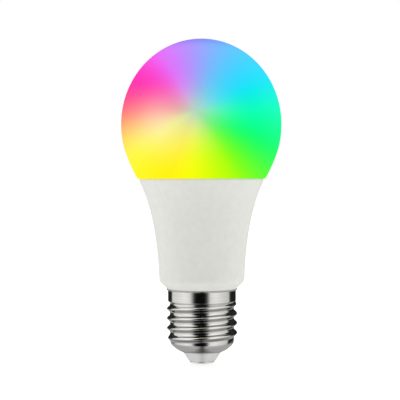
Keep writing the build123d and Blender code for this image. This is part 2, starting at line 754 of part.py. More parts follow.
with BuildPart() as transformer_tape:
    with BuildSketch(Plane.XY.offset(coil_foot_z + 0.5)):
        with Locations(COIL_MIDDLE[:2]):
            RectangleRounded(8.4, 8.0, 1.95)
            RectangleRounded(8.1, 7.7, 1.8, mode=Mode.SUBTRACT)
    extrude(amount=5.4)
save("transformer_tape", transformer_tape)

with BuildPart() as transformer_pins:
    straight_leads(COIL_PINS, COIL_MIDDLE[1] - 4.2)
save("transformer_pins", transformer_pins)

with BuildPart() as bridge_rectifier:
    with BuildSketch(Plane.XZ.offset(SOLDER_FACE)):
        with Locations(RECTIFIER_MIDDLE):
            Rectangle(RECTIFIER_SIZE[0], RECTIFIER_SIZE[1])
    extrude(amount=RECTIFIER_SIZE[2])
    chamfer(bridge_rectifier.edges().group_by(Axis.Y)[0], 0.25)
save("bridge_rectifier", bridge_rectifier)

save_soic("driver_chips", "driver_chip_legs", DRIVER_IC_MIDDLES)

# Small chip parts on the solder face, standing in rows.
RESISTOR_SPOTS = (
    (-8.1, 29.0),
    (-6.3, 29.0),
    (-4.5, 29.0),
    (5.0, 30.5),
    (6.8, 30.5),
    (0.6, 40.5),
    (-1.2, 40.5),
    (9.2, 51.0),
)
CAPACITOR_SPOTS = ((4.6, 23.0), (6.9, 23.0), (-6.3, 33.2), (1.0, 46.0), (-10.2, 54.8))
with BuildPart() as chip_resistors:
    with BuildSketch(Plane.XZ.offset(SOLDER_FACE)):
        with Locations(*RESISTOR_SPOTS):
            Rectangle(1.25, 2.0)
    extrude(amount=0.5)
save("chip_resistors", chip_resistors)

with BuildPart() as chip_capacitors:
    with BuildSketch(Plane.XZ.offset(SOLDER_FACE)):
        with Locations(*CAPACITOR_SPOTS):
            Rectangle(1.6, 3.2)
    extrude(amount=1.0)
save("chip_capacitors", chip_capacitors)

# ---------------------------------------------------------------- header and radio module
with BuildPart() as header_pins:
    for across, up in HEADER_JOINTS:
        with BuildLine(mode=Mode.PRIVATE) as pin_route:
            FilletPolyline(
                (across, -0.7, up),
                (across, HEADER_Y, up),
                (across, HEADER_Y, PIN_TOP_Z),
                radius=PIN_BEND,
            )
        with BuildSketch(Plane.XZ.offset(0.7), mode=Mode.PRIVATE) as pin_section:
            with Locations((across, up)):
                Rectangle(PIN_SIDE, PIN_SIDE)
        sweep(sections=pin_section.sketch, path=pin_route.wires()[0])
save("header_pins", header_pins)

with BuildPart() as header_strip:
    with Locations((0, HEADER_Y, 57.0)):
        Box(*STRIP_SIZE)
    chamfer(header_strip.edges().filter_by(Axis.Z), 0.4)
    with BuildSketch(Plane.XY.offset(57.0 - STRIP_SIZE[2])):
        with Locations(*((across, HEADER_Y) for across, _ in HEADER_JOINTS)):
            Rectangle(PIN_SIDE, PIN_SIDE)
    extrude(amount=2 * STRIP_SIZE[2], mode=Mode.SUBTRACT)
save("header_strip", header_strip)

with BuildPart() as radio_board:
    with BuildSketch(Plane.XZ.offset(MODULE_FACE)):
        with Locations((0, (MODULE_FOOT_Z + MODULE_TOP_Z) / 2)):
            Rectangle(MODULE_WIDTH, MODULE_TOP_Z - MODULE_FOOT_Z)
    extrude(amount=MODULE_THICKNESS)
save("radio_board", radio_board)

with BuildPart() as radio_chip:
    with BuildSketch(Plane.XZ.offset(MODULE_FACE)):
        with Locations((-1.6, 59.9)):
            Rectangle(5.0, 5.0)
    extrude(amount=-0.85)
save("radio_chip", radio_chip)

with BuildPart() as radio_crystal:
    with BuildSketch(Plane.XZ.offset(MODULE_FACE)):
        with Locations((3.9, 60.6)):
            Rectangle(2.5, 2.0)
    extrude(amount=-0.6)
save("radio_crystal", radio_crystal)

# Aerial: a folded copper track above the LED board, thick enough to stand as its own piece.
with BuildPart() as radio_aerial:
    with BuildSketch(Plane.XZ.offset(MODULE_FACE)):
        with BuildLine() as aerial_route:
            Polyline(
                (-5.8, 67.6),
                (-5.8, 74.2),
                (-3.4, 74.2),
                (-3.4, 69.6),
                (-1.4, 69.6),
                (-1.4, 74.2),
                (0.8, 74.2),
                (0.8, 69.6),
                (2.8, 69.6),
                (2.8, 74.2),
                (5.9, 74.2),
            )
            offset(amount=0.3, side=Side.BOTH)
        make_face(aerial_route.wires().sort_by(SortBy.LENGTH)[-1])
    extrude(amount=-0.06)
save("radio_aerial", radio_aerial)

with BuildPart() as radio_passives:
    with BuildSketch(Plane.XZ.offset(MODULE_FACE)):
        with Locations((-5.2, 58.2), (-5.2, 60.0), (-5.2, 61.8), (2.6, 57.6), (4.4, 57.6)):
            Rectangle(1.0, 0.5)
    extrude(amount=-0.45)
save("radio_passives", radio_passives)

with BuildPart() as radio_solder:
    for index in range(7):
        with BuildSketch(Plane.YZ.offset((index - 3) * 1.9 - 0.45)):
            with BuildLine():
                Polyline(
                    (-COMPONENT_FACE, MODULE_FOOT_Z - 0.7),
                    (-COMPONENT_FACE, MODULE_FOOT_Z),
                    (-COMPONENT_FACE + 0.7, MODULE_FOOT_Z),
                    close=True,
                )
            make_face()
        extrude(amount=0.9)
save("radio_solder", radio_solder)

# ---------------------------------------------------------------- mains wires
# Live: from the contact's shank up to the board. Neutral: out through the spigot's notch, then up
# between spigot and screw shell.
live_x, live_z = LIVE_JOINT
live_route = ((0, 0, NAIL_TOP_Z), (0, 0, 9.0), (live_x, 1.0, 11.6), (live_x, 1.0, live_z))
neutral_x, neutral_z = NEUTRAL_JOINT
neutral_route = (
    (11.25, 0, 19.8),
    (11.25, 0, 12.9),
    (neutral_x, 0, 12.9),
    (neutral_x, 0, neutral_z),
)
sleeve_end_y = -COMPONENT_FACE + 0.4
with BuildPart() as wire_cores:
    sweep_round((*live_route, (live_x, -LEAD_TIP, live_z)), CORE_RADIUS)
    sweep_round((*neutral_route, (neutral_x, -LEAD_TIP, neutral_z)), CORE_RADIUS)
save("wire_cores", wire_cores)

with BuildPart() as live_wire_sleeve:
    sweep_round(
        ((0, 0, 6.6), *live_route[1:], (live_x, sleeve_end_y, live_z)),
        SLEEVE_RADIUS,
        CORE_RADIUS,
    )
save("live_wire_sleeve", live_wire_sleeve)

with BuildPart() as neutral_wire_sleeve:
    sweep_round(
        ((9.3, 0, 12.9), *neutral_route[2:], (neutral_x, sleeve_end_y, neutral_z)),
        SLEEVE_RADIUS,
        CORE_RADIUS,
    )
save("neutral_wire_sleeve", neutral_wire_sleeve)
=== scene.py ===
"""Looks of the smart light bulb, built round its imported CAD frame. Metres, +Z up, front at -Y."""

import logging
import math
from dataclasses import dataclass
from enum import Enum

import bpy
import numpy as np
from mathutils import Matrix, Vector


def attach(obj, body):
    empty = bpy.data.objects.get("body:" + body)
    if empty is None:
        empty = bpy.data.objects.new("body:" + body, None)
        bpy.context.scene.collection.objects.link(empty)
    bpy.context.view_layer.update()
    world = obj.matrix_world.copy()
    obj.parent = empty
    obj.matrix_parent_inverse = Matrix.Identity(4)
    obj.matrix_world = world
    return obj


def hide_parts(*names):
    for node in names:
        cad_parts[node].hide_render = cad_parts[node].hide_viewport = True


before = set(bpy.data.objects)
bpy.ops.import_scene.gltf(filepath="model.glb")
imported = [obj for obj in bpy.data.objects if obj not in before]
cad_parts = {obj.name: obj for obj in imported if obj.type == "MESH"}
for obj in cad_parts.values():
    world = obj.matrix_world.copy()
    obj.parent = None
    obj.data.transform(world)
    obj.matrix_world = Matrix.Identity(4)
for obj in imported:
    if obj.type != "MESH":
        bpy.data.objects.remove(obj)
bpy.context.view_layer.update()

MM = 0.001
BLACK = (0.0, 0.0, 0.0, 1.0)
WHITE = (1.0, 1.0, 1.0, 1.0)
log = logging.getLogger("lamp")

Tree = bpy.types.NodeTree
Socket = bpy.types.NodeSocket
Chain = list[tuple[float, float]]


# ------------------------------ numbers and curves
def linear(shade: str) -> tuple[float, float, float, float]:
    """Turn an sRGB hex value into linear light.

    Args:
        shade: six hex digits.

    Returns:
        Red, green, blue and a full alpha.
    """
    parts = [int(shade[i : i + 2], 16) / 255 for i in (0, 2, 4)]
    red, green, blue = (p / 12.92 if p <= 0.04045 else ((p + 0.055) / 1.055) ** 2.4 for p in parts)
    return red, green, blue, 1.0


def ease(value: np.ndarray) -> np.ndarray:
    """Smooth step: three times the square less twice the cube, held between 0 and 1."""
    held = np.clip(value, 0.0, 1.0)
    return held * held * (3 - 2 * held)


def through(points: Chain, step: float) -> np.ndarray:
    """Draw a smooth curve through points, as Catmull-Rom cubics with their ends held.

    Each span is a cubic whose slope at a point is half the chord between that point's neighbours,
    and all the spans are worked out at once.

    Args:
        points: (radius, height) pairs in millimetres.
        step: the spacing wanted along the curve, in millimetres.

    Returns:
        The (radius, height) pairs along the curve, ends included.
    """
    knots = np.array(points, float)
    padded = np.vstack((2 * knots[:1] - knots[1:2], knots, 2 * knots[-1:] - knots[-2:-1]))
    slopes = (padded[2:] - padded[:-2]) / 2
    longest = np.linalg.norm(np.diff(knots, axis=0), axis=1).max()
    count = max(2, math.ceil(longest / step))
    t = np.linspace(0, 1, count, endpoint=False)[None, :, None]
    start, end = knots[:-1, None, :], knots[1:, None, :]
    rise, fall = slopes[:-1, None, :], slopes[1:, None, :]
    curve = (
        (2 * t**3 - 3 * t**2 + 1) * start
        + (t**3 - 2 * t**2 + t) * rise
        + (3 * t**2 - 2 * t**3) * end
        + (t**3 - t**2) * fall
    )
    return np.vstack((curve.reshape(-1, 2), knots[-1:]))


def soft_corners(points: Chain, radius: float, steps: int = 4) -> np.ndarray:
    """Round each inner corner of an open chain of straight runs.

    A corner becomes the quadratic curve from a point one radius before it to one a radius after,
    with the corner itself as the middle control point.

    Args:
        points: (radius, height) pairs in millimetres.
        radius: how far from each corner the rounding starts, at most 45% of the shorter run.
        steps: straight pieces in each rounding.

    Returns:
        The rounded chain as (radius, height) pairs.
    """
    chain = np.array(points, float)
    runs = np.diff(chain, axis=0)
    lengths = np.linalg.norm(runs, axis=1, keepdims=True)
    ways = runs / lengths
    reach = np.minimum(radius, 0.45 * np.minimum(lengths[:-1], lengths[1:]))
    corner = chain[1:-1]
    before, after = corner - ways[:-1] * reach, corner + ways[1:] * reach
    t = np.linspace(0, 1, steps + 1)[None, :, None]
    round_off = (
        (1 - t) ** 2 * before[:, None] + 2 * t * (1 - t) * corner[:, None] + t**2 * after[:, None]
    )
    return np.vstack((chain[:1], round_off.reshape(-1, 2), chain[-1:]))


def circle(around: int) -> np.ndarray:
    """Give the angles of even steps round the axis, as one row."""
    return np.linspace(0, 2 * np.pi, around, endpoint=False)[None, :]


def swung(radius: np.ndarray, height: np.ndarray, angle: np.ndarray) -> np.ndarray:
    """Place points about Z: x is radius times cosine, y is radius times sine, z is height.

    Args:
        radius: radii in millimetres.
        height: heights in millimetres.
        angle: angles in radians.

    Returns:
        A grid of points in metres, profile by angle by three.
    """
    grid = (radius * np.cos(angle), radius * np.sin(angle), height + 0 * angle)
    return np.stack(grid, axis=-1) * MM


def lathe(profile: np.ndarray, around: int) -> np.ndarray:
    """Swing (radius, height) pairs in millimetres about Z, in so many steps."""
    return swung(profile[:, 0:1], profile[:, 1:2], circle(around))


def skin(name: str, grid: np.ndarray, looped: bool) -> bpy.types.Object:
    """Make one closed mesh from a grid whose columns go round an axis.

    Each cell is the quad between two rows and two columns. An unlooped grid starts and ends on the
    axis: its first and last rows are one point each, joined to the next row by triangles.

    Args:
        name: the piece's name.
        grid: points, row by column by three, going down the outside first.
        looped: whether the last row joins the first.

    Returns:
        The new object, linked into the scene.
    """
    rows, columns = grid.shape[:2]
    index = np.arange(rows * columns).reshape(rows, columns)
    ahead = np.roll(index, -1, axis=1)
    lower, lower_ahead = np.roll(index, -1, axis=0), np.roll(ahead, -1, axis=0)
    cells = np.stack((index, lower, lower_ahead, ahead), axis=-1)
    points = grid.reshape(-1, 3)
    if looped:
        quads, fans = cells.reshape(-1, 4), np.zeros((0, 3), int)
    else:
        quads = cells[1:-2].reshape(-1, 4)
        top, foot = index[0, 0], index[-1, 0]
        above = np.stack((np.full(columns, top), index[1], ahead[1]), axis=-1)
        below = np.stack((index[-2], np.full(columns, foot), ahead[-2]), axis=-1)
        fans = np.vstack((above, below))
    used, corners = np.unique(np.concatenate((quads.ravel(), fans.ravel())), return_inverse=True)
    mesh = bpy.data.meshes.new(name)
    mesh.vertices.add(len(used))
    mesh.vertices.foreach_set("co", points[used].ravel())
    sizes = np.concatenate((np.full(len(quads), 4), np.full(len(fans), 3)))
    mesh.loops.add(len(corners))
    mesh.loops.foreach_set("vertex_index", corners.ravel())
    mesh.polygons.add(len(sizes))
    mesh.polygons.foreach_set("loop_start", np.concatenate(([0], np.cumsum(sizes)[:-1])))
    mesh.polygons.foreach_set("use_smooth", np.ones(len(sizes), bool))
    mesh.update(calc_edges=True)
    mesh.validate()
    mesh.set_sharp_from_angle(angle=math.radians(40))
    piece = bpy.data.objects.new(name, mesh)
    bpy.context.scene.collection.objects.link(piece)
    return piece


def stand_for(piece: bpy.types.Object, cad_name: str, material: bpy.types.Material) -> None:
    """Dress a new piece, ride it on the lamp's one body and let it stand for a CAD node.

    Args:
        piece: the new piece.
        cad_name: the CAD node it stands for.
        material: what it is made of.
    """
    piece.data.materials.append(material)
    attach(piece, "root")
    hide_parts(cad_name)
    log.info("%s stands for %s", piece.name, cad_name)


# ------------------------------ shader nodes
def fill(tree: Tree, made: bpy.types.Node, inputs: dict) -> None:
    """Fill a node's inputs, by name or number: a socket is linked, anything else is a value."""
    for key, value in inputs.items():
        if isinstance(value, Socket):
            tree.links.new(value, made.inputs[key])
        else:
            made.inputs[key].default_value = value


def node(tree: Tree, kind: str, inputs: dict | None = None, **settings: object) -> bpy.types.Node:
    """Add one shader node.

    Args:
        tree: the node tree it goes in.
        kind: the node's type name, without its prefix.
        inputs: what fill() puts into it.
        settings: the node's own settings.

    Returns:
        The new node.
    """
    made = tree.nodes.new(f"ShaderNode{kind}")
    for name, value in settings.items():
        setattr(made, name, value)
    fill(tree, made, inputs or {})
    return made


def maths(tree: Tree, operation: str, *values: float | Socket) -> Socket:
    """Work out one sum; each value is a number or a socket."""
    return node(tree, "Math", dict(enumerate(values)), operation=operation).outputs[0]


def spread(
    tree: Tree,
    value: Socket,
    begin: float,
    end: float,
    low: float = 0.0,
    high: float = 1.0,
    kind: str = "LINEAR",
) -> Socket:
    """Map a value from begin and end to low and high, and hold it there outside."""
    inputs = {"Value": value, "From Min": begin, "From Max": end, "To Min": low, "To Max": high}
    return node(tree, "MapRange", inputs, interpolation_type=kind).outputs[0]


def mix(tree: Tree, share: object, under: object, over: object, kind: str = "MIX") -> Socket:
    """Lay one colour over another by a share; each is a value or a socket."""
    inputs = {0: share, 6: under, 7: over}
    return node(tree, "Mix", inputs, data_type="RGBA", blend_type=kind).outputs[2]


def noise(tree: Tree, place: Socket, size_mm: float, detail: float, grit: float = 0.5) -> Socket:
    """Add a noise whose features are about size_mm across; grit is how strong its detail is."""
    inputs = {"Vector": place, "Scale": 1000 / size_mm, "Detail": detail, "Roughness": grit}
    return node(tree, "TexNoise", inputs).outputs[0]


def bump(tree: Tree, height: Socket, relief_mm: float) -> Socket:
    """Turn a height into a normal."""
    inputs = {"Height": height, "Distance": relief_mm * MM, "Strength": 1.0}
    return node(tree, "Bump", inputs).outputs[0]


def on_object(tree: Tree) -> Socket:
    """Give the place on the object, in metres."""
    return node(tree, "TexCoord").outputs["Object"]


def xyz(tree: Tree, place: Socket) -> bpy.types.NodeOutputs:
    """Split a place or a direction into its X, Y and Z."""
    return node(tree, "SeparateXYZ", {0: place}).outputs


def blank(name: str) -> tuple[bpy.types.Material, Tree, bpy.types.Node]:
    """Start a material that holds only a Principled shader and its output."""
    material = bpy.data.materials.new(name)
    material.use_nodes = True
    tree = material.node_tree
    tree.nodes.clear()
    shader = node(tree, "BsdfPrincipled")
    node(tree, "OutputMaterial", {"Surface": shader.outputs[0]})
    return material, tree, shader


# ------------------------------ finishes
NOISE_BAND = (0.3, 0.7)  # where nearly all of a noise's values lie


class Pattern(Enum):
    """How a surface varies: the stretch of its noise along X, Y and Z, and its detail."""

    MOTTLE = ((1.0, 1.0, 1.0), 3.0)  # soft clouds, as in moulded or dipped skins
    GRAIN = ((1.0, 1.0, 1.0), 8.0)  # fine even grit, as in sintered or cast surfaces
    DRAWN = ((1.0, 1.0, 0.06), 5.0)  # lines along the lamp's axis, as on drawn sheet
    ROLLED = ((0.08, 0.08, 1.0), 5.0)  # lines round the axis, as on spun or rolled sheet
    WOUND = ((0.04, 0.04, 1.0), 1.0)  # turns of wire lying side by side


@dataclass(frozen=True)
class Finish:
    """One real surface: two shades that its pattern drifts between, its gloss and its relief."""

    name: str
    shade: str
    drift: str
    pattern: Pattern
    size_mm: float  # of one feature of the pattern
    rough: tuple[float, float]  # roughness where the pattern is low and high
    relief_mm: float = 0.0  # height of the pattern's bump
    metallic: float = 0.0
    ior: float = 1.5
    level: float = 0.5  # specular level
    coat: float = 0.0
    clear: float = 0.0  # transmission
    glow: float = 0.0  # emission strength, in the finish's own shade

    def material(self) -> bpy.types.Material:
        """Build the finish as a material that reads Object coordinates.

        Returns:
            The material.
        """
        made, tree, shader = blank(self.name)
        stretch, detail = self.pattern.value
        turned = node(tree, "Mapping", {"Vector": on_object(tree), "Scale": stretch}).outputs[0]
        pattern = noise(tree, turned, self.size_mm, detail, 0.6)
        drifting = spread(tree, pattern, *NOISE_BAND)
        inputs = {
            "Base Color": mix(tree, drifting, linear(self.shade), linear(self.drift)),
            "Roughness": spread(tree, drifting, 0.0, 1.0, *self.rough),
            "Metallic": self.metallic,
            "Coat Weight": self.coat,
            "Transmission Weight": self.clear,
        }
        if self.relief_mm:
            inputs["Normal"] = bump(tree, pattern, self.relief_mm)
        if not self.metallic:
            inputs |= {"IOR": self.ior, "Specular IOR Level": self.level}
        if self.glow:
            inputs |= {"Emission Color": linear(self.shade), "Emission Strength": self.glow}
        fill(tree, shader, inputs)
        return made


@dataclass(frozen=True)
class Metal(Finish):
    """A bare or plated metal."""

    metallic: float = 1.0


@dataclass(frozen=True)
class OpalGlow:
    """Opal polycarbonate lit from inside by colour LEDs.

    The light runs through the hues round a point near the globe's middle and goes pale there, with
    a cream pool low on the left and a dimmer crown, where the LEDs are farthest.
    """

    name: str = "opal_polycarbonate_lit"
    middle_mm: tuple[float, float] = (-2.1, 92.3)  # x and z of the point the hues turn about
    first: float = 250.0  # degrees where the ring begins, in its evenest part
    first_shade: str = "FFF000"
    pale: str = "B0D8C0"
    pale_fall: tuple[float, float, float] = (6.6, 1.5, 0.96)  # reach in mm, power, most
    pool_mm: tuple[float, float] = (-14.8, 88.9)
    pool: str = "FFF8F0"
    pool_fall: tuple[float, float, float] = (9.0, 2.0, 0.34)
    crown_mm: tuple[float, float] = (115.5, 122.0)  # heights where it begins and would be full
    crown: tuple[float, float, float, float] = (0.62, 0.66, 0.88, 1.0)
    strength: float = 0.60
    body: float = 0.42  # how much of the glow's colour is also painted into the base colour, as painted light, for light from outside
    rough: tuple[float, float] = (0.42, 0.54)
    grain_mm: float = 0.35
    ior: float = 1.58
    level: float = 0.02  # specular level

    def hues(self) -> tuple[tuple[float, str], ...]:
        """Give the hue ring as degrees anticlockwise from +X, and sRGB shades."""
        return (
            (0, "00FFB0"),  # spring green
            (15, "00F0E0"),
            (30, "00E0FF"),  # cyan
            (60, "50C8FF"),  # sky blue
            (90, "A098FF"),  # periwinkle
            (120, "E868FF"),  # orchid
            (135, "F840D0"),
            (150, "FF18B0"),  # hot pink
            (165, "FF3890"),
            (180, "FF7070"),  # coral
            (195, "FFC860"),
            (210, "FFF840"),  # soft yellow
            (225, "FFF000"),  # full yellow
            (270, "F8FF00"),  # lemon
            (300, "A0FF00"),  # lime
            (315, "60FF18"),
            (330, "10FF50"),  # green
            (345, "00FF88"),
        )

    def material(self) -> bpy.types.Material:
        """Build the glowing opal.

        Returns:
            The material.
        """
        made, tree, shader = blank(self.name)
        place = on_object(tree)
        split = xyz(tree, place)
        across = maths(tree, "SUBTRACT", split["X"], self.middle_mm[0] * MM)
        up = maths(tree, "SUBTRACT", split["Z"], self.middle_mm[1] * MM)
        angle = maths(tree, "ARCTAN2", up, across)
        turn = maths(tree, "MULTIPLY_ADD", angle, 0.5 / math.pi, -self.first / 360)
        ring = node(tree, "ValToRGB", {0: maths(tree, "FRACT", turn)})
        ring.color_ramp.interpolation = "B_SPLINE"
        stops = ring.color_ramp.elements
        stops[0].color = stops[1].color = linear(self.first_shade)
        for degrees, shade in self.hues():
            stops.new((degrees - self.first) % 360 / 360).color = linear(shade)
        paled = self.blend(tree, ring.outputs[0], self.pale, self.middle_mm, self.pale_fall)
        pooled = self.blend(tree, paled, self.pool, self.pool_mm, self.pool_fall)
        begin, full = self.crown_mm
        high = spread(tree, split["Z"], begin * MM, full * MM, kind="SMOOTHSTEP")
        crowned = mix(tree, high, pooled, self.crown, "MULTIPLY")
        grain = noise(tree, place, self.grain_mm, 4.0)
        inputs = {
            # Painted light: the base colour is the glow's own colour, with its pale middle, cream
            # pool and dimmer crown, scaled by body.
            "Base Color": mix(tree, self.body, BLACK, crowned),
            "Roughness": spread(tree, grain, 0.0, 1.0, *self.rough),
            "IOR": self.ior,
            "Specular IOR Level": self.level,
            "Emission Color": crowned,
            "Emission Strength": self.strength,
        }
        fill(tree, shader, inputs)
        return made

    @staticmethod
    def blend(
        tree: Tree,
        under: Socket,
        shade: str,
        middle_mm: tuple[float, float],
        fall: tuple[float, float, float],
    ) -> Socket:
        """Lay a round pool of one shade over the colour below it.

        Its strength is a falling exponential of a power of the distance, measured in the plane
        of the front.

        Args:
            tree: the material's tree.
            under: the colour below.
            shade: the pool's sRGB shade.
            middle_mm: its x and z.
            fall: the distance in mm at which it has fallen to about a third, the power, and the
                strength in the middle.

        Returns:
            The blended colour.
        """
        reach_mm, power, most = fall
        inputs = {
            "Vector": on_object(tree),
            "Location": (-middle_mm[0] / reach_mm, 0.0, -middle_mm[1] / reach_mm),
            "Scale": (1000 / reach_mm, 0.0, 1000 / reach_mm),
        }
        moved = node(tree, "Mapping", inputs).outputs[0]
        away = node(tree, "VectorMath", {0: moved}, operation="LENGTH").outputs["Value"]
        decay = maths(tree, "POWER", math.exp(-1), maths(tree, "POWER", away, power))
        return mix(tree, maths(tree, "MULTIPLY", decay, most), under, linear(shade))


@dataclass(frozen=True)
class PrintedBoard:
    """A printed circuit board: resist over copper tracks, which stand a hair proud and look paler.

    The tracks are the lines between the cells of a square-edged cell pattern, one cell for each
    few millimetres, as routed tracks run between parts.
    """

    name: str
    resist: str
    track: str
    bare: str  # bare pads, where the resist is open
    cell_mm: float = 3.2
    rough: float = 0.32
    track_band: tuple[float, float] = (0.40, 0.44)  # distance from a cell's middle, in cells
    pad_band: tuple[float, float] = (0.13, 0.11)
    relief_mm: float = 0.035

    def material(self) -> bpy.types.Material:
        """Build the board.

        Returns:
            The material.
        """
        made, tree, shader = blank(self.name)
        inputs = {"Vector": on_object(tree), "Scale": 1000 / self.cell_mm, "Randomness": 0.7}
        cells = node(tree, "TexVoronoi", inputs, feature="F1", distance="CHEBYCHEV")
        lines = spread(tree, cells.outputs["Distance"], *self.track_band)
        dots = spread(tree, cells.outputs["Distance"], *self.pad_band)
        tracks = mix(tree, lines, linear(self.resist), linear(self.track))
        inputs = {
            "Base Color": mix(tree, dots, tracks, linear(self.bare)),
            "Metallic": dots,
            "Normal": bump(tree, lines, self.relief_mm),
            "Roughness": self.rough,
        }
        fill(tree, shader, inputs)
        return made


@dataclass(frozen=True)
class CodedResistor:
    """A dipped resistor body with painted code bands round its axis."""

    name: str = "dipped_resistor_with_bands"
    coat: str = "2E6F5C"
    bands: tuple[tuple[float, str], ...] = (
        (17.4, "C03A2A"),
        (19.0, "E0A020"),
        (20.6, "7A4A2A"),
        (22.4, "C9A94A"),
    )
    width_mm: float = 0.7  # of one band
    foot_mm: float = 15.5
    length_mm: float = 8.5
    dip_mm: float = 1.6  # size of the coat's unevenness
    relief_mm: float = 0.05

    def material(self) -> bpy.types.Material:
        """Build the bands from the height along the axis.

        Returns:
            The material.
        """
        made, tree, shader = blank(self.name)
        place = on_object(tree)
        foot, top = self.foot_mm, self.foot_mm + self.length_mm
        along = spread(tree, xyz(tree, place)["Z"], foot * MM, top * MM)
        colours = node(tree, "ValToRGB", {0: along})
        colours.color_ramp.interpolation = "CONSTANT"
        stops = colours.color_ramp.elements
        stops[0].color = stops[1].color = linear(self.coat)
        half = self.width_mm / 2
        for height, shade in self.bands:
            stops.new((height - foot - half) / self.length_mm).color = linear(shade)
            stops.new((height - foot + half) / self.length_mm).color = linear(self.coat)
        inputs = {
            "Base Color": colours.outputs[0],
            "Normal": bump(tree, noise(tree, place, self.dip_mm, 2.0), self.relief_mm),
            "Roughness": 0.28,
            "Coat Weight": 0.4,
        }
        fill(tree, shader, inputs)
        return made


@dataclass(frozen=True)
class EndCapped:
    """A fired ceramic chip part whose two ends, by their height, are tinned."""

    name: str
    body: str
    heights_mm: tuple[float, ...]  # of the chips' middles
    half_mm: float  # half the length of the bare body
    tin: str = "C9C9CC"
    rough: tuple[float, float] = (0.25, 0.5)

    def material(self) -> bpy.types.Material:
        """Build bodies and tinned ends: the ends are what lies off every chip's middle band.

        Returns:
            The material.
        """
        made, tree, shader = blank(self.name)
        place = on_object(tree)
        height = xyz(tree, place)["Z"]
        bare = 0.0
        for middle in self.heights_mm:
            near = maths(tree, "COMPARE", height, middle * MM, self.half_mm * MM)
            bare = maths(tree, "MAXIMUM", bare, near)
        inputs = {
            "Base Color": mix(tree, bare, linear(self.tin), linear(self.body)),
            "Metallic": maths(tree, "SUBTRACT", 1.0, bare),
            "Roughness": spread(tree, noise(tree, place, 0.4, 5.0), 0.0, 1.0, *self.rough),
        }
        fill(tree, shader, inputs)
        return made


# ------------------------------ the envelope
@dataclass
class Envelope:
    """The globe and the housing it sits in, turned from their profiles."""

    around: int = 192
    step_mm: float = 0.6
    dome_mm: tuple[float, float, float] = (30.0, 31.9, 89.1)  # radius, height, widest level
    wall_mm: float = 1.2

    def dome(self, inset: float) -> np.ndarray:
        """Give the dome from its top: radius times sine and height times cosine of one angle."""
        radius, height, level = self.dome_mm
        angle = np.linspace(0, np.pi / 2, 64)
        return np.stack(
            ((radius - inset) * np.sin(angle), level + (height - inset) * np.cos(angle)), axis=-1
        )

    def globe(self) -> bpy.types.Object:
        """Build the globe: dome, cheeks, seam edge, snap-in neck, then the even inner wall.

        Returns:
            The globe's object.
        """
        outer = [(30.0, 89.1), (29.86, 85.6), (29.36, 82.2), (28.6, 79.2), (27.54, 76.2)]
        outer += [(26.26, 73.2), (24.88, 70.4), (23.98, 68.85)]
        cheek = through(outer, self.step_mm)
        neck = soft_corners(
            [
                (23.98, 68.85), (23.7, 68.6), (20.9, 68.6), (20.9, 67.3), (21.2, 67.0),
                (20.9, 66.7), (20.9, 65.7), (19.7, 65.7), (19.7, 68.2), (22.5, 69.6),
            ],
            0.12,
        )
        inner = [(22.5, 69.6), (24.7, 73.3), (27.1, 79.5), (28.5, 85.5), (28.8, 89.1)]
        wall = through(inner, self.step_mm)
        hollow = self.dome(self.wall_mm)[-2::-1]
        loop = np.vstack((self.dome(0.0), cheek[1:], neck[1:], wall[1:], hollow))
        return skin("globe", lathe(loop, self.around), looped=False)

    def housing(self) -> bpy.types.Object:
        """Build the housing: rim, flared flank, rounded foot, spigot, then the bore back up.

        The spigot's lower half is thin and short all round, where the neutral wire passes.

        Returns:
            The housing's object.
        """
        rim = soft_corners([(21.0, 67.45), (21.0, 68.6), (23.12, 68.6), (23.2, 68.0)], 0.14)
        flank = through(
            [
                (23.2, 68.0), (22.22, 65.75), (21.25, 63.5), (20.42, 61.2), (19.78, 58.9),
                (19.2, 56.6), (18.22, 52.2), (17.42, 47.6), (16.75, 42.6), (16.35, 38.0),
                (16.08, 34.4), (16.0, 32.2), (15.83, 30.8), (15.2, 29.7), (14.1, 28.75),
                (12.98, 27.65),
            ],
            self.step_mm,
        )
        under = soft_corners(
            [
                (12.98, 27.65), (12.8, 27.4), (12.3, 27.4), (12.3, 23.5), (11.55, 22.3),
                (11.55, 20.8), (10.85, 20.2), (10.85, 13.7), (10.1, 13.7), (10.1, 28.8),
                (14.7, 31.2), (14.7, 32.0),
            ],
            0.1,
        )
        bore = through([(14.7, 32.0), (15.45, 42.1), (16.9, 52.2), (19.1, 61.2), (20.5, 65.2)], 1.5)
        mouth = soft_corners(
            [(20.5, 65.2), (21.0, 65.2), (21.0, 66.6), (21.35, 67.0), (21.0, 67.4)], 0.1
        )
        loop = np.vstack((rim, flank[1:], under[1:], bore[1:], mouth[1:]))
        return skin("housing", lathe(loop, self.around), looped=True)

    def build(self) -> None:
        """Make and dress both pieces."""
        stand_for(self.globe(), "diffuser_globe", OpalGlow().material())
        # Moulded polycarbonate: an even satin white with faint clouding and a fine spark texture.
        white = ("moulded_polycarbonate", "E0E0DB", "DBDBD6", Pattern.MOTTLE, 2.6, (0.46, 0.56))
        satin_white = Finish(*white, relief_mm=0.008, level=0.22)
        stand_for(self.housing(), "housing_shell", satin_white.material())


